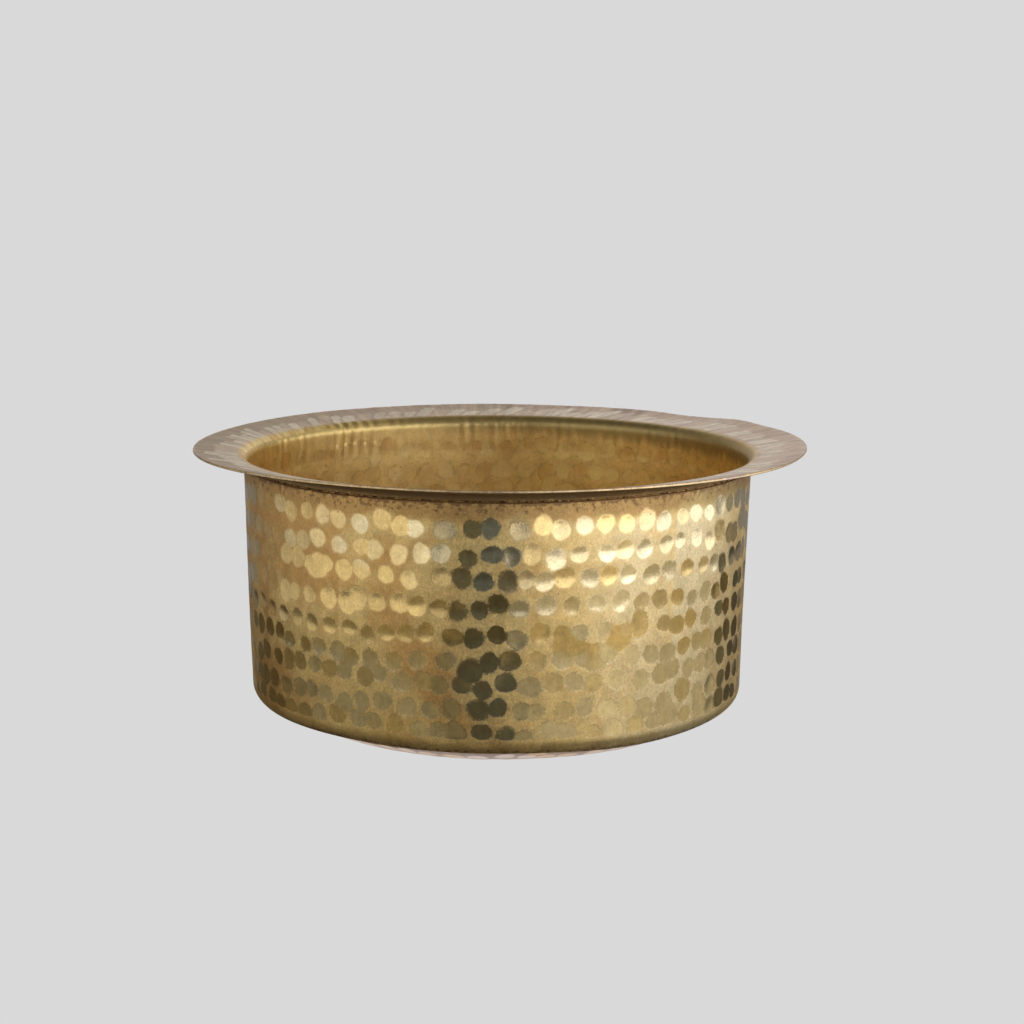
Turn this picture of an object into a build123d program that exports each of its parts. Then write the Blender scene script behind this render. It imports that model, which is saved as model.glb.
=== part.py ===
from build123d import *

import os
from math import cos, radians, sin, tan

# Hammered brass bowl with a wide turned-out rim, of the kind cooked in or filled with floating flowers.
#
# Three sheets of brass are brazed into one vessel: a dished base pan, a wall band closed by one upright
# seam, and a rim flange with a short collar. At the rim both edges are hammered to a long taper and lap
# flush. At the foot the pan laps inside the wall. A film of spelter fills the gap in every seam.
#
# Frame: millimetres, +Z up through the mouth, origin at the centre of the flat face the bowl stands on.
# Every sheet is a solid of revolution about Z. Outlines are drawn in the XZ half plane, as (radius, height).


# Overall size
RIM_RADIUS = 137.5  # outer edge of the flange
RIM_HEIGHT = 128.0  # highest point of the flange's outer edge
SHEET = 1.5  # thickness of all three sheets

# Base pan
FLAT_RADIUS = 60.0  # the flat disc that the bowl stands on
DISH_RADIUS = 80.0  # the curve that rises from that disc
DISH_SLOPE = 33.0  # degrees above level where the dish meets the wall
PAN_CORNER_RADIUS = 4.0

# Wall band
WALL_FOOT_RADIUS = 111.0  # outside, where the wall would meet the base if its corner were sharp
WALL_TOP_RADIUS = 113.9  # outside, at the rim seam
FOOT_CORNER_RADIUS = 6.0
RIM_SEAM_HEIGHT = 119.2  # the band's upper edge

# Rim flange
FLANGE_RISE = 9.5  # degrees above level, going outward
BEND_RADIUS = 3.0  # under the flange

# Seams
BRAZE = 0.2  # thickness of the spelter film
BEAD = 0.5  # side of the small spelter fillet at the edge of a lap
PAN_LAP = 9.0  # how far the base pan reaches up inside the wall band
PAN_THINNED = 6.0  # length over which the pan's upper edge is hammered thin
COLLAR_LAP = 9.0  # length of the tapers of the wall band and the collar
THIN_EDGE = 0.45  # what is left of a sheet at its hammered edge
SEAM_ANGLE = 30.0  # degrees between the upright seam's film and the wall's surface
SEAM_REACH = 16.0  # how far the cut for the upright seam runs, more than the wall needs


def ray(start, degrees, length):
    """The point that far from start, in a direction measured from outward towards up."""
    return (start[0] + length * cos(radians(degrees)), start[1] + length * sin(radians(degrees)))


def crossing(a, direction_a, b, direction_b):
    """Where the line through a meets the line through b, each given with its direction in degrees."""
    ax, az = cos(radians(direction_a)), sin(radians(direction_a))
    bx, bz = cos(radians(direction_b)), sin(radians(direction_b))
    along = ((b[0] - a[0]) * bz - (b[1] - a[1]) * bx) / (ax * bz - az * bx)
    return (a[0] + ax * along, a[1] + az * along)


def aside(point, degrees, distance):
    """The point moved to the left of a direction, which is inward on an outline that runs up the wall."""
    return ray(point, degrees + 90.0, distance)


def wall_direction():
    """The wall's lean: degrees from outward to the line that runs up the wall band."""
    rise = RIM_SEAM_HEIGHT - foot_height()
    return Vector(WALL_TOP_RADIUS - WALL_FOOT_RADIUS, rise, 0).get_angle(Vector(1, 0, 0))


def dish_start():
    """The sharp corner that the dish's curve rounds off, where level ground turns to the dish's slope."""
    return (FLAT_RADIUS + DISH_RADIUS * tan(radians(DISH_SLOPE / 2)), 0.0)


def foot_height():
    """Height at which the dish's slope would meet the inside of the wall's foot."""
    return (WALL_FOOT_RADIUS - SHEET - BRAZE - dish_start()[0]) * tan(radians(DISH_SLOPE))


def wall_line(inset, height):
    """A point on the wall at that height, inset from its outside, measured square to the wall."""
    lean = wall_direction()
    top = aside((WALL_TOP_RADIUS, RIM_SEAM_HEIGHT), lean, inset)
    return crossing(top, lean, (0.0, height), 0.0)


def face_of(*edges):
    """The face inside a closed run of edges."""
    return make_face(Wire(list(edges)).edges())


def turned(outline):
    """The solid that an outline sweeps in a full turn about Z."""
    upright = Plane.XZ * outline
    return revolve(upright, Axis.Z, 360.0)


def path(points, radii):
    """A run through points with each inner corner rounded by its radius, as edges."""
    return FilletPolyline(*points, radius=radii).edges()


def pan_surface(lift, end_height):
    """The line of the base pan's outside, moved inward by lift: corners and their radii."""
    lean = wall_direction()
    inside = wall_line(SHEET + BRAZE + lift, end_height)
    start = crossing((0.0, lift), 0.0, aside(dish_start(), DISH_SLOPE, lift), DISH_SLOPE)
    corner = crossing(start, DISH_SLOPE, inside, lean)
    return [(0.0, lift), start, corner, inside], [DISH_RADIUS - lift, max(PAN_CORNER_RADIUS - lift, 0.3)]


def base_pan():
    """The dished bottom, with an upstand that laps inside the wall and is hammered thin at its top."""
    top = foot_height() + PAN_LAP
    outer, outer_radii = pan_surface(0.0, top)
    inner, inner_radii = pan_surface(SHEET, top - PAN_THINNED)
    lip = wall_line(SHEET + BRAZE + THIN_EDGE, top)
    return turned(
        face_of(
            *path(outer, outer_radii),
            Line(outer[-1], lip),
            Line(lip, inner[-1]),
            *path(inner, inner_radii),
            Line(inner[0], outer[0]),
        )
    )


def foot_lines():
    """The turned-in foot of the wall band: its outside corners, its inside corners, and the end of each."""
    lean = wall_direction()
    joint = wall_line(0.0, foot_height())
    outside_corner = crossing(ray(joint, -90.0, SHEET), DISH_SLOPE, joint, lean)
    inside, _ = pan_surface(-BRAZE, RIM_SEAM_HEIGHT)
    reach = (FOOT_CORNER_RADIUS + THIN_EDGE) * tan(radians((90.0 - DISH_SLOPE) / 2))
    outside_end = ray(outside_corner, DISH_SLOPE + 180.0, reach)
    inside_end = crossing(outside_end, DISH_SLOPE + 90.0, inside[1], DISH_SLOPE)
    return outside_corner, outside_end, inside[2], inside_end


def wall_ring():
    """The wall band before its upright seam is cut, thinned to an edge at its top and at its foot."""
    outside_corner, outside_end, inside_corner, inside_end = foot_lines()
    outside_top = wall_line(0.0, RIM_SEAM_HEIGHT)
    inside_top = wall_line(THIN_EDGE, RIM_SEAM_HEIGHT)
    taper_start = wall_line(SHEET, RIM_SEAM_HEIGHT - COLLAR_LAP)
    return turned(
        face_of(
            *path([outside_end, outside_corner, outside_top], [FOOT_CORNER_RADIUS]),
            Line(outside_top, inside_top),
            Line(inside_top, taper_start),
            *path([inside_end, inside_corner, taper_start], [PAN_CORNER_RADIUS + BRAZE]),
            Line(inside_end, outside_end),
        )
    )


def seam_slab():
    """The thin slanting slab, on the side away from the front, that parts the band from end to end."""
    slab = Box(SEAM_REACH, BRAZE, RIM_HEIGHT)
    middle = (WALL_FOOT_RADIUS + WALL_TOP_RADIUS - SHEET) / 2 - SHEET / 2
    return Pos(0, middle, RIM_HEIGHT / 2) * Rot(0, 0, SEAM_ANGLE) * slab


def rim_flange():
    """The turned-out rim, with a collar whose outside tapers to lap flush with the wall band's inside."""
    lean = wall_direction()
    collar_foot = wall_line(SHEET + BRAZE, RIM_SEAM_HEIGHT - COLLAR_LAP)
    taper_top = wall_line(THIN_EDGE + BRAZE, RIM_SEAM_HEIGHT)
    edge_top = (RIM_RADIUS - SHEET * sin(radians(FLANGE_RISE)), RIM_HEIGHT)
    edge_under = ray(edge_top, FLANGE_RISE - 90.0, SHEET)
    under_corner = crossing(taper_top, lean, edge_under, FLANGE_RISE)
    inside_foot = wall_line(THIN_EDGE + BRAZE + SHEET, RIM_SEAM_HEIGHT - COLLAR_LAP)
    inside_corner = crossing(inside_foot, lean, edge_top, FLANGE_RISE)
    return turned(
        face_of(
            Line(collar_foot, taper_top),
            *path([taper_top, under_corner, edge_under], [BEND_RADIUS]),
            Line(edge_under, edge_top),
            *path([edge_top, inside_corner, inside_foot], [BEND_RADIUS + SHEET]),
            Line(inside_foot, collar_foot),
        )
    )


def rim_braze():
    """Spelter between the two tapers, with a small fillet on the band's upper edge."""
    film_low_out = wall_line(SHEET, RIM_SEAM_HEIGHT - COLLAR_LAP)
    film_low_in = wall_line(SHEET + BRAZE, RIM_SEAM_HEIGHT - COLLAR_LAP)
    film_top_out = wall_line(THIN_EDGE, RIM_SEAM_HEIGHT)
    film_top_in = wall_line(THIN_EDGE + BRAZE, RIM_SEAM_HEIGHT)
    bead_out = wall_line(THIN_EDGE / 3, RIM_SEAM_HEIGHT)
    bead_top = wall_line(THIN_EDGE + BRAZE, RIM_SEAM_HEIGHT + BEAD)
    return turned(
        face_of(
            Line(film_low_in, film_low_out),
            Line(film_low_out, film_top_out),
            Line(film_top_out, bead_out),
            Line(bead_out, bead_top),
            Line(bead_top, film_top_in),
            Line(film_top_in, film_low_in),
        )
    )


def base_braze():
    """Spelter between the wall's foot and the base pan, from the foot's edge to the pan's upper edge."""
    top = foot_height() + PAN_LAP
    _, _, inside_corner, inside_end = foot_lines()
    pan, _ = pan_surface(0.0, top)
    pan_end = crossing(inside_end, DISH_SLOPE + 90.0, pan[1], DISH_SLOPE)
    return turned(
        face_of(
            *path([inside_end, inside_corner, wall_line(SHEET, top)], [PAN_CORNER_RADIUS + BRAZE]),
            Line(wall_line(SHEET, top), pan[3]),
            *path([pan_end, pan[2], pan[3]], [PAN_CORNER_RADIUS]),
            Line(pan_end, inside_end),
        )
    )


def main():
    os.makedirs("parts", exist_ok=True)
    ring = wall_ring()
    slab = seam_slab()
    nodes = {
        "base_pan": base_pan(),
        "wall_band": ring - slab,
        "rim_flange": rim_flange(),
        "base_braze": base_braze(),
        "rim_braze": rim_braze(),
        "wall_braze": ring & slab,
    }
    for name, shape in nodes.items():
        export_step(shape, f"parts/{name}.step")
        print(name, len(shape.solids()), "solid,", round(shape.volume), "mm3")


main()
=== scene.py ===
"""Looks of a hammered brass bowl with a wide turned-out rim, built round its CAD frame."""

from math import atan2, cos, pi, radians, sin, tan

import bpy
import numpy as np
from mathutils import Matrix, Vector


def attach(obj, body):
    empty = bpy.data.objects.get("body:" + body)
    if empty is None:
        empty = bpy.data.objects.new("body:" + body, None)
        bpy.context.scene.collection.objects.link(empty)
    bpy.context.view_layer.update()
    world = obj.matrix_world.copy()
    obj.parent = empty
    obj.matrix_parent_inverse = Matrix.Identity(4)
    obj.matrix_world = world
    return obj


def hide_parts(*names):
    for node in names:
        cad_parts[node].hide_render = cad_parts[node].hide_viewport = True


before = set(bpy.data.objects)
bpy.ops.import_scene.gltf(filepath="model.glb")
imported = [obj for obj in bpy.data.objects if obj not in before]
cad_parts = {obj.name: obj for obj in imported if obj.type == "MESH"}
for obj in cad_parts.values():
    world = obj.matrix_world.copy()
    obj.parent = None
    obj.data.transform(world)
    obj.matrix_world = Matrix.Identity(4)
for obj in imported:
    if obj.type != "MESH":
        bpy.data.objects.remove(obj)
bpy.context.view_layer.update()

MM = 0.001

# Outline of the vessel, in millimetres: (radius, height) in the half plane through its axis
SEAM = 119.2  # height of the rim seam
WALL_TOP = (113.93, SEAM)  # outside of the wall at the rim seam
WALL_LEAN = radians(88.36)  # direction that runs up the wall, from outward towards up
MID_WALL = 60.0  # a height on the straight of the wall
SHEET = 1.5
LAP = 9.0
LAP_GAP = 0.2
THIN_EDGE = 0.45  # what is left of a sheet's edge at a lap
TAPER_FOOT = SEAM - LAP + 3.5  # height below which the wall has its full thickness
DISH_CORNER = 83.7  # where level ground would meet the dish's slope
DISH_RADIUS = 80.0
DISH_SLOPE = radians(33.0)
FOOT_CORNER = 7.2
FOOT_SWELL = 0.45  # how much thicker than its sheet the wall is at its foot
RIM_SHEET = 1.05  # the flange, thinned by filing its edge
RIM_EDGE = (137.1, 127.6)  # top of the flange's outer edge
RIM_RISE = radians(9.5)
LIP_ROUND = 0.19
BEND_UNDER = 4.0
BEND_OVER = 5.1
COLLAR_FOOT = SEAM - LAP - 14  # height at which the collar has run into the wall's inner face
COLLAR_SUNK = (0.14, 0.08)  # how far into the wall its outside and its inside end there
COLLAR_FADE = (0.02, SEAM - LAP - 4)  # how far in, and how high, its inside passes under the wall's
COLLAR_BENDS = (12.0, 200.0)  # radii of the faint bends of its inside, at the seam and where it fades
PAN_TOP = 25.6  # top of the pan's upstand, inside the wall
PAN_TOP_EDGE = 0.12
PAN_CORNER = 6.5  # inside
BEAD_SIDES = 8
CAD_RADIUS = 137.5
CAD_HEIGHT = 128.0

# Meshes: columns round a ring, spacing of the rings in mm, and where the metal's grain is laid out
COLUMNS = 720
INNER_COLUMNS = 360
WALL_SPACING = 1.03
WALL_INNER_SPACING = 1.9
FLANGE_SPACING = 0.95
PAN_SPACING = 1.15
WALL_GRAIN_RADIUS = 113.0
FLANGE_GRAIN_RADIUS = 125.0

# Hammer blows: the rows on the wall, and the pitch, half width, half height and depth of each surface's
# blows
ROW_HEIGHTS = (108.7, 97.4, 86.8, 74.4, 63.3, 52.4, 43.0, 32.0, 22.8)
WALL_BLOW = (9.5, 4.2, 4.15, 0.13)
DISH_BLOW = (9.9, 4.2, 4.4, 0.12)
PAN_INNER_BLOW = (9.6, 4.3, 4.5, 0.10)
PAN_ROW_PITCH = 10.0
BLOW_SCATTER = 0.5  # how far blows stray from their row
BLOW_LEAN = 0.011  # how far they tilt, in mm of depth for each mm across
BLOW_REACH = 4.5  # how far past its half height a blow can still tell
THROUGH_DEPTH = 0.05  # of a blow's mark on the far side of the sheet
THROUGH_LEAN = 0.4  # how much of its tilt shows there
THROUGH_GAIN = 1.7  # how much deeper the material is told that it is
UNSTRUCK = 0.3  # the height over a blow's edge past which the surface is plain

# The flange's long facets
FACET_LEAN = 0.5  # how far they lean round the bowl for each mm they run outward
FACET_WIDTH = 9.2
FACET_NARROWING = 5.0  # at the sides of the bowl
FACET_RADIUS = 119.0  # where their width is measured
FACET_REACH = (9.0, 2.2)  # how far they run out from the bend, and how much that varies
FACET_GAIN = 3.0  # how much deeper the material is told that they are
FLAT_OF_FLANGE = 19.0  # from the lip to where the flange starts to turn down


# ---------------------------------------------------------------- outlines


def ray(start, angle, length):
    return (start[0] + length * cos(angle), start[1] + length * sin(angle))


def crossing(a, angle_a, b, angle_b):
    ax, az = cos(angle_a), sin(angle_a)
    bx, bz = cos(angle_b), sin(angle_b)
    along = ((b[0] - a[0]) * bz - (b[1] - a[1]) * bx) / (ax * bz - az * bx)
    return (a[0] + ax * along, a[1] + az * along)


def wall_at(inset, height):
    """The point at that height on the wall, inset from its outside face."""
    top = ray(WALL_TOP, WALL_LEAN + pi / 2, inset)
    return crossing(top, WALL_LEAN, (0.0, height), 0.0)


def dish_line(lift):
    """The straight slope where the dish meets the wall, lifted off its outside: a point and a direction."""
    return ray((DISH_CORNER, 0.0), DISH_SLOPE + pi / 2, lift), DISH_SLOPE


def rounded(points, radii):
    """A close run of points along straight lines whose inner corners are rounded."""
    pts = [np.array(p, float) for p in points]
    out = [pts[0]]
    for i, radius in enumerate(radii):
        before, here, after = pts[i], pts[i + 1], pts[i + 2]
        u = (before - here) / np.linalg.norm(before - here)
        v = (after - here) / np.linalg.norm(after - here)
        half = np.arccos(np.clip(u @ v, -1, 1)) / 2
        reach = radius / tan(half)
        centre = here + (u + v) / np.linalg.norm(u + v) * radius / sin(half)
        a, b = here + u * reach - centre, here + v * reach - centre
        turn = atan2(a[0] * b[1] - a[1] * b[0], a @ b)
        for t in np.linspace(0, turn, 24):
            out.append(centre + np.array([a[0] * cos(t) - a[1] * sin(t), a[0] * sin(t) + a[1] * cos(t)]))
    out.append(pts[-1])
    return np.array(out)


def spaced(run, spacing):
    """The run resampled at an even spacing, ends kept."""
    length = np.concatenate([[0], np.cumsum(np.linalg.norm(np.diff(run, axis=0), axis=1))])
    count = max(2, int(round(length[-1] / spacing)) + 1)
    at = np.linspace(0, length[-1], count)
    return np.stack([np.interp(at, length, run[:, 0]), np.interp(at, length, run[:, 1])], -1)


class Outline:
    """Rings of a sheet from first to last: radius r, height z, outward normal nr and nz, length s along the
    outline, side and columns."""

    def __init__(self):
        self.rz = []
        self.side = []
        self.columns = []

    def add(self, run, side, columns):
        """Rings along a run that starts where the last one ended."""
        for p in run[1 if self.rz else 0 :]:
            self.put(p, side, columns)

    def put(self, p, side, columns):
        self.rz.append(tuple(p))
        self.side.append(side)
        self.columns.append(columns)

    def finish(self, closed):
        rz = np.array(self.rz)
        if closed and np.allclose(rz[0], rz[-1]):
            rz = rz[:-1]
            self.side, self.columns = self.side[:-1], self.columns[:-1]
        if closed:
            step = np.roll(rz, -1, 0) - np.roll(rz, 1, 0)
        else:
            step = np.gradient(rz, axis=0)
        step /= np.linalg.norm(step, axis=1)[:, None]
        self.r, self.z = rz[:, 0], rz[:, 1]
        self.nr, self.nz = step[:, 1], -step[:, 0]
        gap = np.linalg.norm(np.diff(rz, axis=0), axis=1)
        self.s = np.concatenate([[0], np.cumsum(gap)])
        self.side, self.columns = np.array(self.side), np.array(self.columns)
        self.closed = closed
        return self


OUTSIDE, EDGE, INSIDE = 0, 1, 2


def foot_lines():
    """Foot of the wall, outside then inside: the point it ends at, and the corner above it."""
    outside = (SHEET + LAP_GAP + FOOT_SWELL, 0.0, FOOT_CORNER)
    inside = (LAP_GAP, SHEET, FOOT_CORNER - SHEET)
    lines = []
    for lift, inset, radius in (outside, inside):
        start, slope = dish_line(-lift)
        corner = crossing(start, slope, wall_at(inset, MID_WALL), WALL_LEAN)
        reach = radius * tan((WALL_LEAN - slope) / 2) + 0.1
        lines.append((ray(corner, slope + pi, reach), corner))
    return lines


def wall_outline():
    (foot, corner), (inner_foot, inner_corner) = foot_lines()
    top_out, top_in, taper = wall_at(0.0, SEAM), wall_at(THIN_EDGE, SEAM), wall_at(SHEET, TAPER_FOOT)
    outer = rounded([foot, corner, top_out], [FOOT_CORNER])
    inner = rounded([taper, inner_corner, inner_foot], [FOOT_CORNER - SHEET])
    o = Outline()
    o.add(spaced(outer, WALL_SPACING), OUTSIDE, COLUMNS)
    o.add(spaced(np.array([top_out, top_in]), 0.3), EDGE, COLUMNS)
    o.add(spaced(np.array([top_in, taper]), 2.0), INSIDE, INNER_COLUMNS)
    o.add(spaced(inner, WALL_INNER_SPACING), INSIDE, INNER_COLUMNS)
    o.add(spaced(np.array([inner_foot, foot]), 0.5), EDGE, COLUMNS)
    return o.finish(True)


def flange_outline():
    under_edge = ray(RIM_EDGE, RIM_RISE - pi / 2, RIM_SHEET)
    foot_out = wall_at(SHEET - COLLAR_SUNK[0], COLLAR_FOOT)
    foot_in = wall_at(SHEET - COLLAR_SUNK[1], COLLAR_FOOT)
    fade = wall_at(SHEET - COLLAR_FADE[0], COLLAR_FADE[1])
    seam_out = wall_at(THIN_EDGE + LAP_GAP, SEAM)
    under_corner = crossing(seam_out, WALL_LEAN, under_edge, RIM_RISE)
    inner_start = wall_at(THIN_EDGE + LAP_GAP + RIM_SHEET, SEAM - 1)
    inner_corner = crossing(inner_start, WALL_LEAN, RIM_EDGE, RIM_RISE)
    under = rounded([seam_out, under_corner, under_edge], [BEND_UNDER])
    edge = [under_edge, ray(under_edge, RIM_RISE, 0.2), ray(RIM_EDGE, RIM_RISE, 0.2), RIM_EDGE]
    inside = rounded([RIM_EDGE, inner_corner, inner_start, fade, foot_in], [BEND_OVER, *COLLAR_BENDS])
    o = Outline()
    o.add(spaced(np.array([foot_out, seam_out]), 1.8), OUTSIDE, COLUMNS)
    o.add(spaced(under, 1.2), OUTSIDE, COLUMNS)
    o.add(spaced(rounded(edge, [LIP_ROUND, LIP_ROUND]), 0.2), EDGE, COLUMNS)
    o.add(spaced(inside, FLANGE_SPACING), INSIDE, COLUMNS)
    o.add(spaced(np.array([foot_in, foot_out]), 0.12), EDGE, COLUMNS)
    return o.finish(True)


def columns_at(radius):
    """How many columns a ring of the pan has: fewer as the rings get smaller."""
    for limit, columns in ((72, 640), (34, 320), (16, 160), (7, 80), (0.01, 40)):
        if radius > limit:
            return columns
    return 1


def pan_outline():
    lift, slope = dish_line(0.0)
    corner = crossing(lift, slope, wall_at(SHEET + LAP_GAP, MID_WALL), WALL_LEAN)
    top_out = wall_at(SHEET + LAP_GAP, PAN_TOP)
    top_in = wall_at(SHEET + LAP_GAP + PAN_TOP_EDGE, PAN_TOP)
    inner_lift, _ = dish_line(SHEET)
    inner_corner = crossing(inner_lift, slope, wall_at(SHEET * 2 + LAP_GAP, MID_WALL), WALL_LEAN)
    dish_in = crossing((0.0, SHEET), 0.0, inner_lift, slope)
    outer = rounded([(0.0, 0.0), lift, corner, top_out], [DISH_RADIUS, FOOT_CORNER - SHEET - LAP_GAP])
    inner = rounded([top_in, inner_corner, dish_in, (0.0, SHEET)], [PAN_CORNER, DISH_RADIUS - SHEET])
    outer, inner = spaced(outer, PAN_SPACING), spaced(inner, PAN_SPACING)
    lip = spaced(np.array([top_out, top_in]), 0.1)
    o = Outline()
    for run, side in ((outer[:-1], OUTSIDE), (lip, EDGE), (inner[1:], INSIDE)):
        for p in run:
            o.put(p, side, columns_at(p[0]))
    return o.finish(False)


# ---------------------------------------------------------------- hammer blows


def along(o, side, height):
    """How far along an outline its given side reaches a height."""
    pick = np.where(o.side == side)[0]
    order = pick[np.argsort(o.z[pick])]
    return float(np.interp(height, o.z[order], o.s[order]))


def blow_ring(rng, place, radius, blow):
    """Blows struck in one ring round the vessel. One row of the result per blow: angle, place along the
    outline, half width, half height, depth, two leans, tone, and two waves of its edge."""
    pitch, half_width, half_height, depth = blow
    around = 2 * pi * radius
    steps = []
    while sum(steps) < around:
        step = pitch * np.clip(rng.normal(1.0, 0.09), 0.88, 1.25)
        luck = rng.random()  # one step in twenty is short, and one is long
        steps.append(step * (0.74 if luck < 0.05 else 1.35 if luck > 0.95 else 1.0))
    steps = np.array(steps) * around / sum(steps)
    angles = (np.cumsum(steps) / radius + rng.random() * 2 * pi) % (2 * pi)
    drift, phase = rng.normal(0, 0.35, 4), rng.random(4) * 2 * pi
    wander = sum(drift[k] * np.sin((k + 2) * angles + phase[k]) for k in range(4))
    n = len(angles)
    size = rng.normal(1.0, 0.05, n)
    return np.stack(
        [
            angles,
            place + wander + rng.normal(0, BLOW_SCATTER, n),
            half_width * size * rng.normal(1.0, 0.04, n),
            half_height * size * rng.normal(1.0, 0.05, n),
            depth * rng.normal(1.0, 0.16, n),
            rng.normal(0, BLOW_LEAN, n),
            rng.normal(0, BLOW_LEAN, n),
            rng.random(n),
            rng.random(n) * 2 * pi,
            rng.random(n) * 2 * pi,
        ],
        -1,
    )


def blow_rings(rng, rings, blow):
    """Blows in rings, each ring given as (place along the outline, radius)."""
    return np.concatenate([blow_ring(rng, place, radius, blow) for place, radius in rings])


def strike(blows, s, r, angles):
    """Height of the struck surface against the unstruck one, in mm (positive where no blow reaches), and the
    tone of the blow that shapes each place."""
    near = blows[np.abs(blows[:, 1] - s) < blows[:, 3] + BLOW_REACH]
    if len(near) == 0:
        return np.full(len(angles), UNSTRUCK), np.zeros(len(angles))
    b = near[:, :, None]
    du = ((angles[None] - b[:, 0] + pi) % (2 * pi) - pi) * r
    dv = s - b[:, 1] + 0 * du
    turn = np.arctan2(dv, du)
    edge = 1 + 0.05 * np.cos(2 * turn + b[:, 8]) + 0.04 * np.cos(3 * turn + b[:, 9])
    edge = edge + 0.02 * np.cos(5 * turn + b[:, 8])
    q2 = ((du / b[:, 2]) ** 2 + (dv / b[:, 3]) ** 2) / edge**2
    h = b[:, 4] * (q2 - 1) + b[:, 5] * du + b[:, 6] * dv
    win = h.argmin(0)
    return np.clip(h.min(0), -1, UNSTRUCK), near[win, 7]


def waves(rng, count, low, high):
    """A smooth closed random wave round the bowl: frequencies, weights and phases."""
    k = rng.integers(low, high, count)
    return k, rng.normal(0, 1, count) / np.sqrt(count), rng.random(count) * 2 * pi


def wave_at(w, angles):
    k, a, p = w
    return (a[:, None] * np.cos(k[:, None] * angles[None] + p[:, None])).sum(0)


def smooth(low, high, x):
    t = np.clip((x - low) / (high - low), 0, 1)
    return t * t * (3 - 2 * t)


# ---------------------------------------------------------------- meshes

# What a mesh tells its material at each point, and what it says where nothing is said: height against the
# unstruck surface (mm), tone of the blow, dirt and painted shade, stain, zone of another colour, and painted
# shade
MARKS = {"dent": UNSTRUCK, "tone": 0.0, "grime_and_shade": 0.0, "stain": 0.0, "zone": 0.0, "painted_shade": 0.0}


def stitch(faces, a, na, b, nb):
    """Faces between rings a and b, given by their first vertices. They may differ 2 to 1 in columns."""
    if na == nb:
        for j in range(na):
            k = (j + 1) % na
            faces.append((a + j, a + k, b + k, b + j))
    elif na == 1:
        for j in range(nb):
            faces.append((a, b + (j + 1) % nb, b + j))
    elif nb == 1:
        for j in range(na):
            faces.append((a + j, a + (j + 1) % na, b))
    elif na == 2 * nb:
        for j in range(nb):
            k = (j + 1) % nb
            faces.append((a + 2 * j, a + 2 * j + 1, b + j))
            faces.append((a + 2 * j + 1, b + k, b + j))
            faces.append((a + 2 * j + 1, a + (2 * j + 2) % na, b + k))
    elif nb == 2 * na:
        for j in range(na):
            k = (j + 1) % na
            faces.append((a + j, b + 2 * j + 1, b + 2 * j))
            faces.append((a + j, a + k, b + 2 * j + 1))
            faces.append((a + k, b + (2 * j + 2) % nb, b + 2 * j + 1))


def near_angle(angle, centre, width):
    """1 at an angle in degrees, falling off over a width in degrees."""
    d = (angle - radians(centre) + pi) % (2 * pi) - pi
    return np.exp(-((d / radians(width)) ** 2))


def handmade(p):
    """What the vessel's maker left: the body sits a little to one side under the rim, the rim waves and is
    bent at one place, and the foot hangs lower on one side."""
    x, y, z = p[:, 0], p[:, 1], p[:, 2]
    r = np.hypot(x, y)
    angle = np.arctan2(y, x)
    aside = (1 - smooth(114, 134, r)) * (1.35 + 0.35 * smooth(118, 60, z) - 0.15 * smooth(45, 15, z))
    lift = -1.0 * near_angle(angle, 47, 8) + 0.5 * near_angle(angle, 32, 5) - 0.35 * np.sin(angle)
    lift = lift - 0.3 * near_angle(angle, 75, 14) - 1.3 * near_angle(angle, 178, 40)
    lift = lift + 0.8 * near_angle(angle, 0, 22)
    lift = lift + 0.1 * np.cos(3 * angle + 1.0) + 0.06 * np.cos(7 * angle + 2.0)
    z = np.minimum(z + smooth(113, 137, r) * lift, CAD_HEIGHT - 0.02)
    hang = smooth(10, 60, x) * (1 - 0.6 * smooth(60, 105, x))
    sag = smooth(45, 15, z) * smooth(70, 95, r) * (0.8 * smooth(0, -70, x) - 0.8 * hang)
    shrink = np.minimum(1.0, (CAD_RADIUS - 0.03) / np.maximum(r, 1.0))
    aside = aside + 0.6 * smooth(105, 137, x)
    return np.stack([x * shrink - aside, y * shrink, z + sag], -1)


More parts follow.
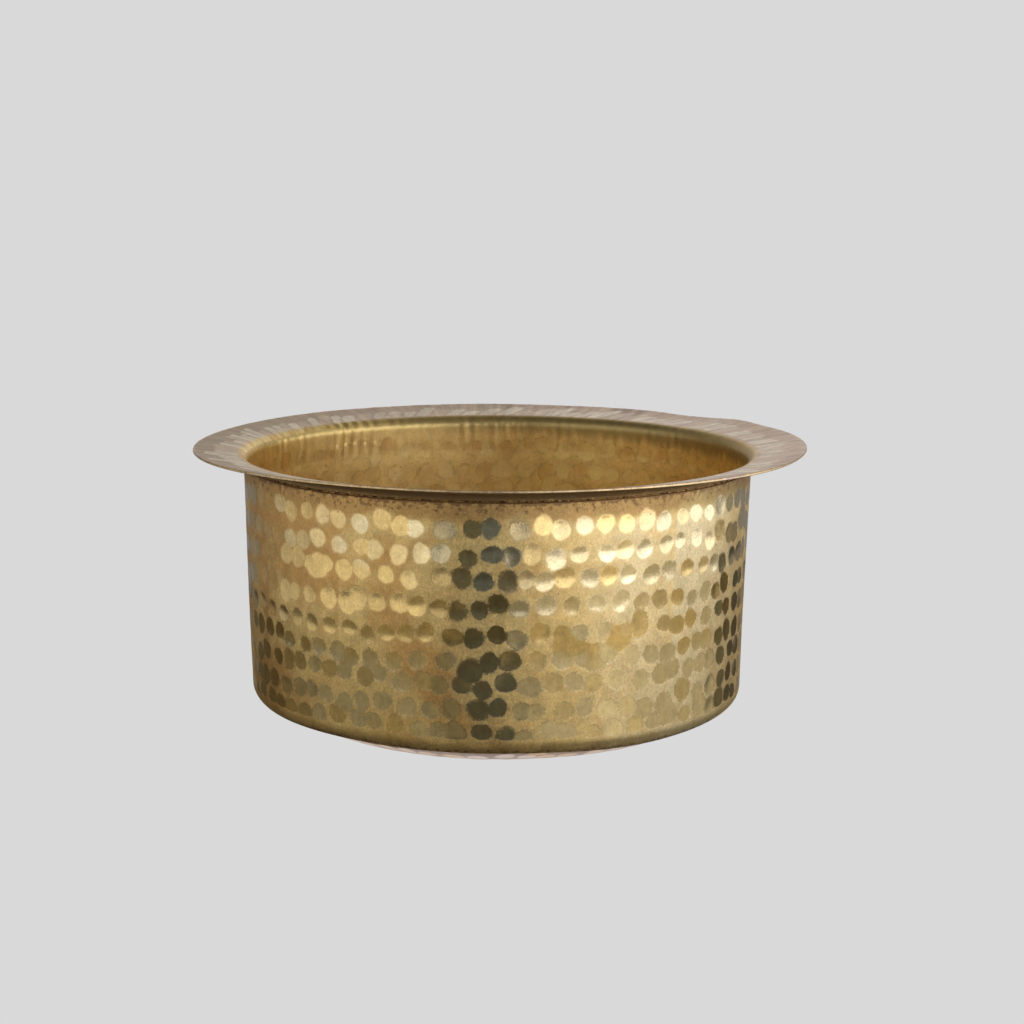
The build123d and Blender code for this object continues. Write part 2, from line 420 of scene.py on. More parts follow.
def sheet_mesh(name, o, relief, grain_radius=None):
    """A closed mesh swept from an outline. relief(ring, angles) gives displacement and marks.
    grain_radius is the radius at which the metal's grain is laid out, where it isn't the ring's own."""
    starts, verts, flow = [], [], []
    marks = {label: [] for label in MARKS}
    total = 0
    for k in range(len(o.r)):
        n = int(o.columns[k])
        angles = 2 * pi * np.arange(n) / n
        d, given = relief(k, angles)
        rr = o.r[k] + o.nr[k] * d
        zz = o.z[k] + o.nz[k] * d
        grain = (grain_radius or o.r[k]) * MM
        east, north, level = np.cos(angles), np.sin(angles), 0 * angles
        verts.append(np.stack([rr * east, rr * north, zz + level], -1))
        flow.append(np.stack([grain * east, grain * north, o.s[k] * MM + level], -1))
        for label, plain in MARKS.items():
            marks[label].append(given.get(label, plain) + level)
        starts.append(total)
        total += n
    faces, inside = [], []
    rings = list(range(len(o.r)))
    pairs = list(zip(rings[:-1], rings[1:])) + ([(rings[-1], rings[0])] if o.closed else [])
    for a, b in pairs:
        stitch(faces, starts[a], int(o.columns[a]), starts[b], int(o.columns[b]))
        inside += [int(INSIDE in (o.side[a], o.side[b]))] * (len(faces) - len(inside))
    mesh = bpy.data.meshes.new(name)
    mesh.from_pydata((handmade(np.concatenate(verts)) * MM).tolist(), [], faces)
    for label, values in marks.items():
        layer = mesh.attributes.new(label, "FLOAT", "POINT")
        layer.data.foreach_set("value", np.concatenate(values).astype(np.float32))
    layer = mesh.attributes.new("flow", "FLOAT_VECTOR", "POINT")
    layer.data.foreach_set("vector", np.concatenate(flow).ravel().astype(np.float32))
    mesh.polygons.foreach_set("use_smooth", [True] * len(mesh.polygons))
    mesh.polygons.foreach_set("material_index", inside)
    mesh.update()
    obj = bpy.data.objects.new(name, mesh)
    bpy.context.scene.collection.objects.link(obj)
    return obj


def front(degrees):
    """A mesh angle, in radians, from degrees round from the front towards +X."""
    return radians((degrees - 90) % 360)


def wall_blows():
    """Every blow on the outside of the wall, placed by height."""
    rng = np.random.default_rng(11)
    rows = [(height, wall_at(0, height)[0]) for height in ROW_HEIGHTS]
    blows = blow_rings(rng, rows, WALL_BLOW)
    # Flats where a bigger hammer went over the rows: degrees round from the front, height, half width, half
    # height, depth, and the phase of the wave in the edge
    lean, tone = (0.004, 0.006), 0.8
    flats = [
        (front(phi), height, wide, high, deep, *lean, tone, phase, phase * 2)
        for phi, height, wide, high, deep, phase in (
            (16, 60, 7.5, 6.5, 0.13, 0.4),
            (21, 54, 8.0, 6.0, 0.14, 1.9),
            (27, 61, 7.0, 6.0, 0.13, 3.3),
            (-41, 88, 7.0, 5.5, 0.15, 4.1),
            (118, 66, 8.0, 6.5, 0.17, 5.0),
            (205, 45, 7.5, 6.0, 0.16, 0.9),
        )
    ]
    return np.concatenate([blows, np.array(flats)])


def laid_on(blows, o, side, depth=None):
    """Blows placed by height, moved to their places along an outline. A depth given replaces their own, where
    blows on the outside show inside as faint discs."""
    placed = blows.copy()
    placed[:, 1] = [along(o, side, height) for height in blows[:, 1]]
    if depth is not None:
        placed[:, 4] = depth
        placed[:, 5:7] *= THROUGH_LEAN
    return placed


def wall_piece():
    o = wall_outline()
    rng = np.random.default_rng(12)
    outer, inner = laid_on(wall_blows(), o, OUTSIDE), laid_on(wall_blows(), o, INSIDE, THROUGH_DEPTH)
    foot_wave, low, seam_wave = waves(rng, 70, 3, 120), waves(rng, 10, 2, 9), waves(rng, 60, 20, 200)
    drip = waves(rng, 40, 8, 60)
    foot_s, top_s = o.s[0], o.s[o.side == OUTSIDE][-1]

    def relief(k, angles):
        side, s = o.side[k], o.s[k]
        body = 0.10 * wave_at(low, angles)
        # Uneven tone round the wall for the stains: more at the left and front, paler ground at the front
        # right, which is partly painted light
        uneven = 0.12 * near_angle(angles, 190, 55) + 0.08 * near_angle(angles, 262, 22)
        uneven = uneven - 0.10 * near_angle(angles, 312, 28)
        if side == EDGE and o.z[k] < MID_WALL:
            slip = 0.28 * wave_at(foot_wave, angles) - 0.9 * near_angle(angles, -128, 1.6)
            return slip, {"grime_and_shade": 0.9}
        if side == EDGE:
            return body, {"grime_and_shade": 0.8}
        dent, tone = strike(outer if side == OUTSIDE else inner, s, o.r[k], angles)
        if side == OUTSIDE:
            dent = dent + 0.4 * (1 - smooth(5, 9, s - foot_s))
        if side == INSIDE:
            d = np.minimum(dent, 0) - body * smooth(SEAM - 25, SEAM - 40, o.z[k])
            return d, {"dent": dent * THROUGH_GAIN, "tone": tone}
        # Grime in the seam; darker brown 3 to 10 mm under it and at the foot, partly dirt and partly painted
        # shade;
        # stains that run down the wall; painted shade under the rim, at the foot, the edges and the lower
        # rows
        from_top = top_s - s + 0.4 * wave_at(seam_wave, angles)
        up = s - foot_s
        grime_and_shade = 0.5 * (1 - smooth(0.2, 1.6, from_top)) + 0.42 * (1 - smooth(3, 10, from_top))
        grime_and_shade = grime_and_shade + 0.55 * (1 - smooth(0.5, 6.0, up))
        run = 0.14 * smooth(0.7, 1.9, wave_at(drip, angles)) + 0.04 * near_angle(angles, 306, 2.5)
        stain = uneven + run * smooth(0, 60, up) + 0.2 * (1 - smooth(3, 11, from_top))
        # Painted shade: most under the rim at the right, then towards the foot, at the left and right edges
        # and in the lower rows, less low at the front right
        shade_under_rim = (1 - smooth(5, 11, from_top)) * (0.18 + 0.4 * near_angle(angles, 335, 45))
        painted_shade = shade_under_rim + 0.35 * (1 - smooth(1, 10, up)) + 0.1 * near_angle(angles, 180, 40)
        painted_shade = painted_shade + 0.06 * (1 - smooth(35, 70, up)) * (1 - near_angle(angles, 295, 45))
        painted_shade = painted_shade - 0.05 * (1 - smooth(45, 70, up)) * near_angle(angles, 300, 40)
        painted_shade = painted_shade + 0.1 * near_angle(angles, 335, 28) * (1 - smooth(75, 90, up))
        # Blows of a warmer tone at the left, in the upper rows
        low_rows = 1 - smooth(36, 50, up)
        honey = 0.3 + 0.4 * (1 - smooth(76, 82, up)) - 0.5 * low_rows
        tone = np.clip(tone * (1 - 0.4 * low_rows) + honey * near_angle(angles, 225, 36), 0, 1)
        marks = {"dent": dent, "tone": tone, "grime_and_shade": np.clip(grime_and_shade, 0, 1), "stain": stain, "painted_shade": painted_shade}
        return np.minimum(dent, 0) + body, marks

    piece = sheet_mesh("wall_hammered", o, relief, WALL_GRAIN_RADIUS)
    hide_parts("wall_band", "wall_braze")
    return piece


def facet_edges(rng):
    """Angles between the long facets of the flange, which are narrower at the sides than at the back."""
    angle, edges = 0.0, []
    while angle < 2 * pi:
        edges.append(angle)
        side = max(float(near_angle(angle, 0, 55)), 0.8 * float(near_angle(angle, 180, 50)))
        angle += (FACET_WIDTH - FACET_NARROWING * side) * rng.normal(1.0, 0.12) / FACET_RADIUS
    return np.array(edges)


def facet(edges, reach, tones, from_bend, radius, angles):
    """Height and tone of the flange's long facets, which lean round the bowl as they run outward."""
    at = (angles + FACET_LEAN * from_bend / radius) % (2 * pi)
    i = np.searchsorted(edges, at, side="right") - 1
    ends = np.append(edges, 2 * pi)
    width = ends[i + 1] - ends[i]
    across = 2 * (at - ends[i]) / width - 1
    deep = 0.006 * width * radius * (across**2 - 0.75)
    out = (from_bend - reach[i]) / 3.0
    return deep + 0.05 * np.maximum(out, 0) ** 2 * (out > 0), tones[i]


def flange_piece():
    o = flange_outline()
    rng = np.random.default_rng(5)
    start_s = o.s[np.where(o.side == INSIDE)[0][0]]
    bend_s = start_s + FLAT_OF_FLANGE
    edges = facet_edges(rng)
    reach, tones = rng.normal(*FACET_REACH, len(edges)), rng.random(len(edges))
    discs = wall_blows()
    discs = laid_on(discs[discs[:, 1] > COLLAR_FOOT - 2], o, INSIDE, THROUGH_DEPTH)
    flute, ridges, edge_wave = waves(rng, 40, 95, 150), waves(rng, 60, 330, 450), waves(rng, 80, 5, 200)
    patches, depth = waves(rng, 20, 8, 45), waves(rng, 60, 12, 160)
    seam_s = along(o, OUTSIDE, SEAM)

    def relief(k, angles):
        side, s = o.side[k], o.s[k]
        if side == EDGE:
            at_lip = float(o.r[k] > 130)
            return 0.04 * wave_at(edge_wave, angles) * at_lip, {"zone": at_lip, "grime_and_shade": 0.22 * at_lip}
        if side == OUTSIDE:
            # The flange's underside: painted shade over all of it, and darker brown from the seam outward,
            # partly dirt and partly painted shade under the rim
            return 0.0 * angles, {"grime_and_shade": 0.85 * smooth(-3, 1.5, s - seam_s), "painted_shade": 0.25}
        dent, tone = strike(discs, s, o.r[k], angles)
        flat = 1 - smooth(bend_s - 0.5, bend_s + 3.0, s)
        if s < bend_s + 5:
            rise, tone = facet(edges, reach, tones, bend_s - s, o.r[k], angles)
            # At the left the turn of the bend is marked as struck, so it takes the blows' lighter colour:
            # painted light
            dent = rise * flat + UNSTRUCK * (1 - flat) * (1 - 1.5 * near_angle(angles, 160, 45))
        uneven = 1.6 * wave_at(depth, angles)
        fluted = smooth(bend_s, bend_s + 5, s)
        fluted = fluted * (1 - smooth(bend_s + 9 + uneven, bend_s + 22 + 2 * uneven, s))
        fluted = fluted * (0.35 + 0.65 * near_angle(angles, 122, 45))
        fluted = fluted * smooth(-1.6, 0.6, wave_at(patches, angles))
        right = 0.4 + 0.6 * near_angle(angles, 10, 60)
        d = np.minimum(dent, 0) + 0.24 * fluted * wave_at(flute, angles)
        d = d + 0.012 * (1 - smooth(bend_s - 4, bend_s + 3, s)) * right * wave_at(ridges, angles)
        # Painted shade: a dark band where the rim turns down into the bowl, at the back and right and not at
        # the left, and the flat of the flange darker at the left
        outward = 1 - smooth(bend_s - 5, bend_s - 1, s)
        shaded_to = bend_s + 6 + 4 * near_angle(angles, 35, 50) + 0.5 * uneven
        turned = smooth(bend_s + 1, bend_s + 4, s) * (1 - smooth(shaded_to, shaded_to + 6, s))
        painted_shade = 0.66 * turned * (1 - near_angle(angles, 145, 48))
        painted_shade = painted_shade + 0.36 * outward * near_angle(angles, 180, 65)
        outer_half = 1 - smooth(6, 14, s - start_s)
        marks = {
            "dent": dent * (FACET_GAIN if s < bend_s + 5 else THROUGH_GAIN),
            "tone": tone,
            "stain": (0.12 * outer_half - 0.06 + 0.06 * wave_at(flute, angles)) * flat,
            "zone": flat,
            "painted_shade": painted_shade,
        }
        return d, marks

    piece = sheet_mesh("rim_flange_hammered", o, relief, FLANGE_GRAIN_RADIUS)
    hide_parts("rim_flange")
    return piece


def pan_piece():
    o = pan_outline()
    rng = np.random.default_rng(23)
    top_s = o.s[o.side == OUTSIDE][-1]
    s_in = o.s[o.side == INSIDE]

    def rings(first, last):
        return [(s, float(np.interp(s, o.s, o.r))) for s in np.arange(first, last, PAN_ROW_PITCH)]

    outer = blow_rings(rng, rings(5, top_s - 10), DISH_BLOW)
    inner = blow_rings(rng, rings(s_in[0] + 5, s_in[-1] - 2), PAN_INNER_BLOW)

    def relief(k, angles):
        side = o.side[k]
        if side == EDGE:
            return 0 * angles, {"grime_and_shade": 0.3}
        dent, tone = strike(outer if side == OUTSIDE else inner, o.s[k], max(o.r[k], 0.5), angles)
        shaped = smooth(50, 66, o.r[k]) if side == OUTSIDE else 1.0
        return np.minimum(dent, 0) * shaped, {"dent": dent, "tone": tone, "grime_and_shade": 0.1}

    piece = sheet_mesh("base_pan_hammered", o, relief)
    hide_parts("base_pan")
    return piece


def bead(name, node, centre, size, seed, lump):
    """A lumpy ring of spelter along a seam, its section a small round."""
    rng = np.random.default_rng(seed)
    o = Outline()
    turn = np.linspace(0, 2 * pi, BEAD_SIDES + 1)[:-1]
    for t in turn:
        o.put((centre[0] + size * sin(t), centre[1] - size * cos(t)), EDGE, COLUMNS)
    o.finish(True)
    w = [waves(rng, 80, 20, 330) for _ in turn]
    body = waves(rng, 80, 10, 300)

    def relief(k, angles):
        return lump * (0.6 * wave_at(body, angles) + 0.5 * wave_at(w[k], angles)), {}

    piece = sheet_mesh(name, o, relief, WALL_GRAIN_RADIUS)
    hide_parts(node)
    return piece


# ---------------------------------------------------------------- materials


class Graph:
    """Short calls for making a material's nodes."""

    def __init__(self, name):
        self.material = bpy.data.materials.new(name)
        self.material.use_nodes = True
        self.nodes = self.material.node_tree.nodes
        self.links = self.material.node_tree.links
        self.nodes.clear()

    def node(self, kind, **values):
        n = self.nodes.new(kind)
        for key, value in values.items():
            setattr(n, key, value)
        return n

    def put(self, socket, value):
        if isinstance(value, bpy.types.NodeSocket):
            self.links.new(value, socket)
        elif value is not None:
            socket.default_value = value

    def attribute(self, name, vector=False):
        n = self.node("ShaderNodeAttribute", attribute_name=name)
        return n.outputs["Vector" if vector else "Fac"]

    def math(self, operation, a, b=None, c=None):
        n = self.node("ShaderNodeMath", operation=operation)
        for i, v in enumerate((a, b, c)):
            self.put(n.inputs[i], v)
        return n.outputs[0]

    def times(self, a, b):
        return self.math("MULTIPLY", a, b)

    def scaled(self, vector, scale):
        n = self.node("ShaderNodeVectorMath", operation="MULTIPLY")
        self.put(n.inputs[0], vector)
        n.inputs[1].default_value = scale
        return n.outputs[0]

    def noise(self, vector, scale, detail, rough=0.5, distortion=0.0):
        n = self.node("ShaderNodeTexNoise")
        self.put(n.inputs["Vector"], vector)
        n.inputs["Scale"].default_value = scale
        n.inputs["Detail"].default_value = detail
        n.inputs["Roughness"].default_value = rough
        n.inputs["Distortion"].default_value = distortion
        return n.outputs["Fac"]

    def cells(self, vector, scale):
        n = self.node("ShaderNodeTexVoronoi", feature="F1")
        self.put(n.inputs["Vector"], vector)
        n.inputs["Scale"].default_value = scale
        return n.outputs["Distance"]

    def ramp(self, value, low, high, to_low=0.0, to_high=1.0, soft=True):
        n = self.node("ShaderNodeMapRange", interpolation_type="SMOOTHSTEP" if soft else "LINEAR")
        for i, v in enumerate((value, low, high, to_low, to_high)):
            self.put(n.inputs[i], v)
        return n.outputs[0]

    def mix(self, factor, a, b):
        n = self.node("ShaderNodeMix", data_type="RGBA", clamp_factor=True)
        self.put(n.inputs[0], factor)
        for i, v in ((6, a), (7, b)):
            self.put(n.inputs[i], (*v, 1.0) if isinstance(v, tuple) else v)
        return n.outputs[2]

    def value(self, color, factor):
        """The colour made darker or lighter."""
        n = self.node("ShaderNodeHueSaturation")
        self.put(n.inputs["Color"], color)
        self.put(n.inputs["Value"], factor)
        return n.outputs[0]

    def varied(self, color, pattern, low, high, dark, light):
        """The colour times dark where a pattern is low, rising to light where it is high."""
        return self.value(color, self.ramp(pattern, low, high, dark, light, soft=False))

    def blend(self, factor, a, b):
        n = self.node("ShaderNodeMix", data_type="FLOAT", clamp_factor=True)
        for i, v in ((0, factor), (2, a), (3, b)):
            self.put(n.inputs[i], v)
        return n.outputs[0]

    def bump(self, height, strength, distance):
        n = self.node("ShaderNodeBump")
        n.inputs["Strength"].default_value = strength
        n.inputs["Distance"].default_value = distance
        self.put(n.inputs["Height"], height)
        return n.outputs[0]

    def metal(self, color, roughness, normal):
        p = self.node("ShaderNodeBsdfPrincipled")
        self.put(p.inputs["Base Color"], (*color, 1.0) if isinstance(color, tuple) else color)
        p.inputs["Metallic"].default_value = 1.0
        self.put(p.inputs["Roughness"], roughness)
        self.put(p.inputs["Normal"], normal)
        out = self.node("ShaderNodeOutputMaterial")
        self.links.new(p.outputs[0], out.inputs[0])
        return self.material


# Colours, as linear red, green and blue
KHAKI = (0.82, 0.58, 0.22)
INNER = (0.89, 0.645, 0.235)
GOLD = (0.90, 0.66, 0.26)
CREAM = (0.92, 0.74, 0.40)
HONEY = (0.86, 0.59, 0.21)
ORANGE = (0.66, 0.39, 0.13)
BROWN = (0.32, 0.175, 0.07)
SOOT = (0.08, 0.05, 0.025)
PINK = (0.74, 0.59, 0.43)
DUSK = (0.55, 0.40, 0.31)
PEARL = (0.90, 0.82, 0.64)
DISC = (0.97, 0.76, 0.31)
# The dish's brass is painted dark and pinkish grey: painted shade under the bowl and a painted reflection of
# the pale table; its blows near white, a painted reflection
DISH_SHADE_AND_REFLECTION = (0.42, 0.34, 0.29)
DISH_DISC_REFLECTION = (0.88, 0.78, 0.71)
ROSE = (0.66, 0.47, 0.24)
PALE = (0.84, 0.68, 0.37)
# The colour that painted shade darkens towards
SHADE_OLIVE = (0.20, 0.15, 0.065)


def hammered_brass(name, seed, colors, rough, stain, outline, grain, zone=(PINK, PINK)):
    """Brass with its struck faces brighter than the ground between them.

    colors and rough each give the ground's value, then the blows'. Where the surface is marked as a zone of
    its own, the zone's two colours stand in for them. stain (0 to 1) is how much of the ground is stained,
    outline how dark the line round a blow is, and grain how strong the ground's speckle is."""
    g = Graph(name)
    shifted = g.node("ShaderNodeVectorMath", operation="ADD")
    g.put(shifted.inputs[0], g.attribute("flow", vector=True))
    shifted.inputs[1].default_value = (seed, seed * 0.7, seed * 0.3)
    at = shifted.outputs[0]
    in_zone, tone = g.attribute("zone"), g.attribute("tone")
    speckle, mottle = g.noise(at, 1150, 3, 0.75), g.noise(at, 130, 4, 0.6)

    # Where the blows are, with ragged edges
    rag = g.math("SUBTRACT", g.noise(at, 420, 3, 0.6), 0.5)
    rag = g.math("MULTIPLY_ADD", rag, 0.05, g.attribute("dent"))
    rag = g.math("MULTIPLY_ADD", g.math("SUBTRACT", speckle, 0.5), 0.1, rag)
    struck = g.ramp(rag, -0.05, 0.045, 1.0, 0.0)

    # The ground between them
    ground = g.mix(g.ramp(g.attribute("stain"), 0.0, -0.12), colors[0], PALE)
    ground = g.mix(in_zone, ground, zone[0])
    drift = g.math("ADD", g.noise(at, 15, 5, 0.6, 0.7), g.attribute("stain"))
    stains = g.ramp(drift, 0.66 - 0.3 * stain, 0.80 - 0.3 * stain)
    between = g.mix(stains, ground, g.mix(in_zone, ORANGE, DUSK))
    blotch = g.ramp(g.noise(at, 75, 4, 0.65), 0.5, 0.66)
    blotch = g.times(blotch, g.math("SUBTRACT", 1.0, in_zone))
    between = g.mix(g.times(blotch, 0.7 * stain), between, ORANGE)
    between = g.varied(between, speckle, 0.33, 0.67, 1.0 - grain, 1.0 + 0.9 * grain)
    between = g.varied(between, mottle, 0.3, 0.7, 0.86, 1.12)
    hatch = g.noise(g.scaled(at, (1.0, 1.0, 0.25)), 1500, 2, 0.6)
    between = g.varied(between, hatch, 0.3, 0.7, 1 - 0.45 * grain, 1 + 0.45 * grain)

    # The blows
    face = g.mix(in_zone, colors[1], zone[1])
    blow = g.mix(g.times(stains, 0.45), face, g.mix(in_zone, g.mix(0.5, ORANGE, GOLD), DUSK))
    warm = g.blend(in_zone, g.ramp(tone, 0.28, 0.85, 0.0, 0.92), g.ramp(tone, 0.2, 1.0))
    blow = g.mix(warm, blow, g.mix(in_zone, HONEY, zone[0]))
    streak = g.noise(g.scaled(at, (1.0, 1.0, 0.1)), 900, 3, 0.7)
    worn = g.noise(at, 430, 4, 0.7)
    blow = g.varied(blow, streak, 0.3, 0.7, 1 - 0.35 * grain, 1 + 0.3 * grain)
    blow = g.varied(blow, mottle, 0.3, 0.7, 0.9, 1.08)
    blow = g.varied(blow, worn, 0.32, 0.68, 1 - 0.7 * grain, 1 + 0.5 * grain)
    blow = g.varied(blow, speckle, 0.35, 0.65, 1 - 0.5 * grain, 1 + 0.4 * grain)
    color = g.mix(struck, between, blow)

    # Long streaks in the zone, lines round the blows (partly painted shade), pits, painted shade, and dirt
    # that is partly painted shade
    long_streak = g.noise(g.scaled(at, (1.0, 1.0, 0.07)), 330, 3, 0.65)
    drawn = g.varied(color, long_streak, 0.3, 0.7, 0.76, 1.2)
    color = g.mix(g.times(in_zone, 0.9), color, drawn)
    # The brown line round each blow is partly painted shade in the blow's edge
    line = g.times(g.ramp(rag, -0.03, 0.0), g.ramp(rag, 0.0, 0.03, 1.0, 0.0))
    line = g.times(line, g.ramp(g.noise(at, 240, 3, 0.6), 0.4, 0.62))
    color = g.mix(g.times(line, outline), color, BROWN)
    pits = g.ramp(g.cells(at, 300), 0.0, 0.2, 1.0, 0.0)
    pits = g.times(pits, g.ramp(g.noise(at, 45, 3), 0.54, 0.66))
    color = g.mix(g.times(pits, 0.8), color, SOOT)
    # Painted shade: the ground is darkened towards olive where the mesh marks it, the blows much less
    painted_shade = g.times(g.attribute("painted_shade"), g.ramp(struck, 0.0, 1.0, 1.0, 0.15))
    color = g.mix(painted_shade, color, SHADE_OLIVE)
    # Dirt, partly painted shade under the rim and at the foot, darkens towards brown and soot and dulls the
    # shine
    dirt_and_shade = g.math("SUBTRACT", g.noise(at, 480, 5, 0.75), 0.5)
    dirt_and_shade = g.ramp(g.math("MULTIPLY_ADD", dirt_and_shade, 2.2, g.attribute("grime_and_shade")), 0.42, 0.66)
    color = g.mix(g.times(dirt_and_shade, 0.85), color, g.mix(0.4, BROWN, SOOT))

    # How it shines
    dullness = g.ramp(speckle, 0.3, 0.7, rough[0] - 0.05, rough[0] + 0.06)
    dullness = g.blend(dirt_and_shade, g.blend(struck, dullness, rough[1]), 0.5)
    scratch = g.noise(g.scaled(at, (1.0, 1.0, 0.3)), 2200, 2, 0.7)
    relief = g.math("MULTIPLY_ADD", speckle, 0.6, g.times(scratch, 0.4))
    relief = g.times(relief, g.ramp(struck, 0.0, 1.0, 1.0, 0.42))
    return g.metal(color, dullness, g.bump(relief, 0.4, 0.00008))


def dull_spelter():
    g = Graph("dull_spelter")
    at = g.attribute("flow", vector=True)
    n = g.noise(at, 500, 4, 0.6)
    dash = g.ramp(g.noise(g.scaled(at, (1.0, 1.0, 0.4)), 420, 3, 0.65), 0.5, 0.58)
    color = g.mix(dash, g.mix(g.ramp(n, 0.4, 0.62), ORANGE, BROWN), SOOT)
    return g.metal(color, 0.5, g.bump(n, 0.5, 0.0002))


# ---------------------------------------------------------------- stage

CAMERA_AT = (0.0, -0.9898, 0.2699)
CAMERA_TURN = (10.005, 0.30, 0.28)  # how far it looks down, turns right and rolls, in degrees
CAMERA_LENS = 77.96
BACKDROP = (0.694, 0.694, 0.694)
ROOM = (0.22, 0.22, 0.23)  # what the metal sees where there is no panel
DISC_SIDES = 96
PANEL_STEPS = 12
BOWL_MIDDLE = 0.06  # height from which the panels' elevations are counted

# Distances of the panels from the bowl's axis. The nearer ones hide part of those behind them.
GAP_AWAY, STRIP_AWAY, PANEL_AWAY, BACK_AWAY = 1.27, 1.28, 1.3, 1.4


def camera():
    data = bpy.data.cameras.new("camera")
    data.lens = CAMERA_LENS
    data.sensor_width = 36.0
    data.clip_end = 50.0
    cam = bpy.data.objects.new("camera", data)
    bpy.context.scene.collection.objects.link(cam)
    pitch, yaw, roll = (radians(angle) for angle in CAMERA_TURN)
    ahead = Vector((sin(yaw) * cos(pitch), cos(yaw) * cos(pitch), -sin(pitch)))
    right = Vector((cos(yaw), -sin(yaw), 0.0))
    up = right.cross(ahead)
    across = right * cos(roll) + up * sin(roll)
    over = up * cos(roll) - right * sin(roll)
    turn = Matrix((across, over, -ahead)).transposed()
    cam.matrix_world = Matrix.Translation(CAMERA_AT) @ turn.to_4x4()
    bpy.context.scene.camera = cam


def stage_piece(name, points, faces, material):
    """A mesh that belongs to the studio and not to the bowl."""
    mesh = bpy.data.meshes.new(name)
    mesh.from_pydata(points, [], faces)
    mesh.materials.append(material)
    obj = bpy.data.objects.new(name, mesh)
    bpy.context.scene.collection.objects.link(obj)
    return obj


def unseen(obj, *rays):
    """Hides an object from rays of the given kinds."""
    for kind in rays:
        setattr(obj, "visible_" + kind, False)


def plane(name, centre, size, facing, material):
    """A flat card facing a direction."""
    w, h = size[0] / 2, size[1] / 2
    card = stage_piece(name, [(-w, -h, 0), (w, -h, 0), (w, h, 0), (-w, h, 0)], [(0, 1, 2, 3)], material)
    turn = Vector(facing).to_track_quat("Z", "Y").to_matrix().to_4x4()
    card.matrix_world = Matrix.Translation(centre) @ turn
    return card


def disc(name, centre, radii, material):
    """A flat oval lying level."""
    turn = np.linspace(0, 2 * pi, DISC_SIDES + 1)[:-1]
    points = [(centre[0] + radii[0] * cos(t), centre[1] + radii[1] * sin(t), centre[2]) for t in turn]
    return stage_piece(name, points, [tuple(range(DISC_SIDES))], material)


def glow(name, color, strength):
    g = Graph(name)
    e = g.node("ShaderNodeEmission")
    e.inputs[0].default_value = (*color, 1)
    e.inputs[1].default_value = strength
    out = g.node("ShaderNodeOutputMaterial")
    g.links.new(e.outputs[0], out.inputs[0])
    return g.material


def lacquer(name, color, roughness):
    """A finish that mirrors part of what is above it."""
    g = Graph(name)
    gloss = g.node("ShaderNodeBsdfGlossy")
    gloss.inputs["Color"].default_value = (*color, 1.0)
    gloss.inputs["Roughness"].default_value = roughness
    out = g.node("ShaderNodeOutputMaterial")
    g.links.new(gloss.outputs[0], out.inputs[0])
    return g.material


def upright(elevations, left, right):
    """The rows of a panel with upright ends."""
    return [(elevation, left, right) for elevation in elevations]


def panel(name, rows, away, color, strength):
    """A glowing panel seen only in reflections, bent round the bowl. rows run upward, each giving its
    elevation and the azimuths it spans, in degrees from the front towards +X."""
    points, faces = [], []
    for elevation, left, right in rows:
        z = BOWL_MIDDLE + away * tan(radians(elevation))
        for i in range(PANEL_STEPS + 1):
            a = radians(left + (right - left) * i / PANEL_STEPS)
            points.append((away * sin(a), -away * cos(a), z))
    for j in range(len(rows) - 1):
        for i in range(PANEL_STEPS):
            k = j * (PANEL_STEPS + 1) + i
            faces.append((k, k + 1, k + PANEL_STEPS + 2, k + PANEL_STEPS + 1))
    unseen(stage_piece(name, points, faces, glow(name, color, strength)), "camera", "shadow")


def backdrop():
    """A pale floor and background for the camera alone. The metal sees a dim room in their place."""
    scene = bpy.context.scene
    scene.view_settings.view_transform = "Standard"
    world = bpy.data.worlds.new("studio")
    scene.world = world
    world.use_nodes = True
    nodes, links = world.node_tree.nodes, world.node_tree.links
    path = nodes.new("ShaderNodeLightPath")
    mix = nodes.new("ShaderNodeMix")
    mix.data_type = "RGBA"
    mix.inputs[6].default_value = (*ROOM, 1)
    mix.inputs[7].default_value = (*BACKDROP, 1)
    links.new(path.outputs["Is Camera Ray"], mix.inputs[0])
    links.new(mix.outputs[2], nodes["Background"].inputs[0])
    floor = plane("floor", (0, 0, -0.0006), (40, 40), (0, 0, 1), glow("floor_pale", BACKDROP, 1.0))
    unseen(floor, "glossy", "diffuse", "shadow")


def table():
    """What the metal sees below it: a glossy table top that ends not far from the bowl."""
    dark = glow("table_edge", (0.03, 0.03, 0.03), 1.0)
    gloss = lacquer("table_gloss", (0.297, 0.266, 0.188), 0.08)
    pale = glow("under_tone", (0.62, 0.55, 0.53), 1.0)
    for name, centre, radii, material in (
        ("table_edge_seen_in_metal", (0.07, -0.02, -0.0016), (0.395, 0.41), dark),
        ("table_seen_in_metal", (0.07, -0.02, -0.0013), (0.37, 0.385), gloss),
        ("pale_under_bowl", (0, 0, -0.0010), (0.095, 0.095), pale),
    ):
        unseen(disc(name, centre, radii, material), "camera", "shadow", "diffuse")


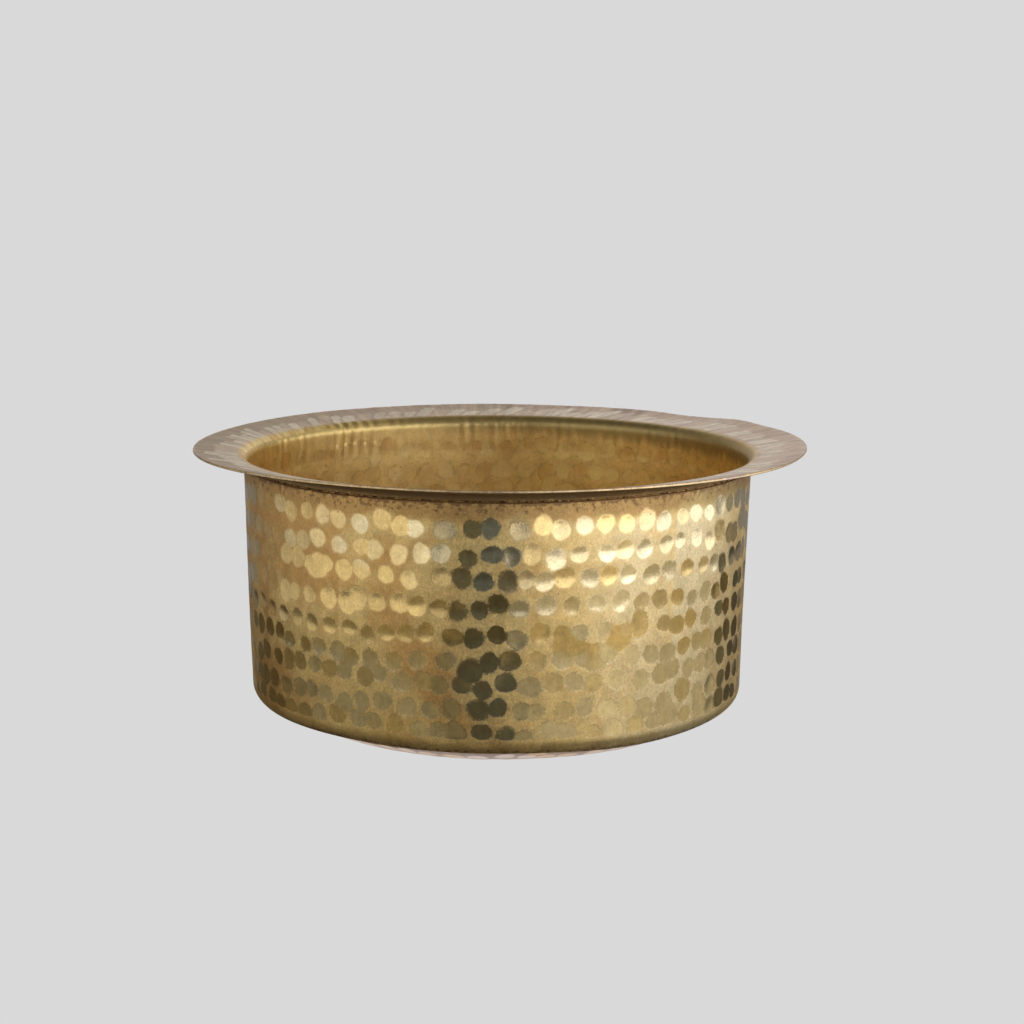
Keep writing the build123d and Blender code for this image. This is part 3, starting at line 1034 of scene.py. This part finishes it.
def lights():
    """What else the metal sees: soft panels, with gaps of dark between them."""
    low, high = (-40, 38), (-40, 26)
    white, cool, warm, dim = (0.95, 0.97, 1.03), (0.96, 1.0, 1.16), (0.94, 0.95, 0.90), (0.82, 0.97, 1.16)
    panel("light_left", upright(low, -50, -29), PANEL_AWAY, white, 0.92)
    panel("light_left_end", upright(low, -29, -16), PANEL_AWAY, white, 0.66)
    panel("light_side", upright(low, -88, -50), PANEL_AWAY, white, 0.78)
    panel("light_back_left", upright(low, -110, -88), PANEL_AWAY, white, 0.52)
    panel("light_far_left", upright(low, -134, -110), PANEL_AWAY, (1.0, 0.88, 0.75), 0.28)
    panel("light_right_end", upright(high, 5, 16), PANEL_AWAY, cool, 0.9)
    panel("light_right", upright(high, 16, 114), PANEL_AWAY, cool, 1.47)
    panel("light_strip", upright(high, 42, 66), STRIP_AWAY, cool, 2.1)
    panel("dark_left_low", upright((-40, 3), -146, -134), PANEL_AWAY, warm, 0.22)
    panel("dark_left_high", upright((3, 38), -146, -134), PANEL_AWAY, warm, 0.3)
    panel("dark_right_low", upright((-40, 3), 114, 129), PANEL_AWAY, warm, 0.28)
    panel("dark_right_high", upright((3, 38), 114, 129), PANEL_AWAY, warm, 0.38)
    gap_low = [(-40, -24, 9), (0, -20, 8), (5, -19, 8)]
    gap_high = [(5, -19, 8), (11.5, -15, 7), (13.4, -4, 7), (26, -3, 6), (38, -3, 6)]
    panel("gap_low", gap_low, GAP_AWAY, dim, 0.12)
    panel("gap_high", gap_high, GAP_AWAY, dim, 0.25)
    panel("light_high_right", upright((38, 56), 80, 165), PANEL_AWAY, (1.0, 0.95, 0.88), 0.62)
    panel("light_high_front", upright((39, 52), -60, 60), PANEL_AWAY, (1.0, 0.95, 0.88), 0.27)
    panel("back_right", upright((-5, 34), 146, 180), BACK_AWAY, (1.0, 0.94, 0.94), 0.74)
    panel("back_left", upright((-5, 34), 180, 219), BACK_AWAY, (1.0, 0.92, 0.85), 0.6)
    faint = glow("overhead", (1.0, 0.97, 0.93), 0.14)
    overhead = plane("overhead", (0, 0, 1.5), (2.0, 2.0), (0, 0, -1), faint)
    unseen(overhead, "camera", "shadow")


# ---------------------------------------------------------------- making


def brasses():
    """Brass of the wall's outside, of the insides, of the flange's underside and top, and of the dish."""
    wall = hammered_brass(
        "wall_brass", 3.1, (KHAKI, CREAM), rough=(0.47, 0.13), stain=0.5, outline=0.35, grain=0.21
    )
    inside = hammered_brass(
        "inside_brass", 9.4, (INNER, DISC), rough=(0.43, 0.40), stain=0.15, outline=0.35, grain=0.12
    )
    rim_top = hammered_brass(
        "rim_brass", 9.4, (INNER, DISC), rough=(0.40, 0.36), stain=0.15, outline=0.35, grain=0.12,
        zone=(PINK, PEARL),
    )
    rim_under = hammered_brass(
        "rim_under_brass", 6.2, (GOLD, GOLD), rough=(0.38, 0.38), stain=0.3, outline=0.1, grain=0.2,
        zone=(ROSE, ROSE),
    )
    dish = hammered_brass(
        "dish_brass", 5.3, (DISH_SHADE_AND_REFLECTION, DISH_DISC_REFLECTION), rough=(0.34, 0.2), stain=0.3, outline=0.3, grain=0.25
    )
    return wall, inside, rim_under, rim_top, dish


def main():
    camera()
    backdrop()
    table()
    lights()
    (foot, _), (inner_foot, _) = foot_lines()
    rim_centre = wall_at(0.42, SEAM + 0.1)
    base_centre = ((foot[0] + inner_foot[0]) / 2, (foot[1] + inner_foot[1]) / 2)
    wall, flange, pan = wall_piece(), flange_piece(), pan_piece()
    rim_seam = bead("rim_seam_spelter", "rim_braze", rim_centre, size=0.28, seed=3, lump=0.1)
    base_seam = bead("base_seam_spelter", "base_braze", base_centre, size=0.55, seed=4, lump=0.12)
    outer, inner, rim_under, rim_top, dish = brasses()
    spelter = dull_spelter()
    for obj, materials in (
        (wall, (outer, inner)),
        (flange, (rim_under, rim_top)),
        (pan, (dish, inner)),
        (rim_seam, (spelter,)),
        (base_seam, (spelter,)),
    ):
        for material in materials:
            obj.data.materials.append(material)
        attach(obj, "root")


main()
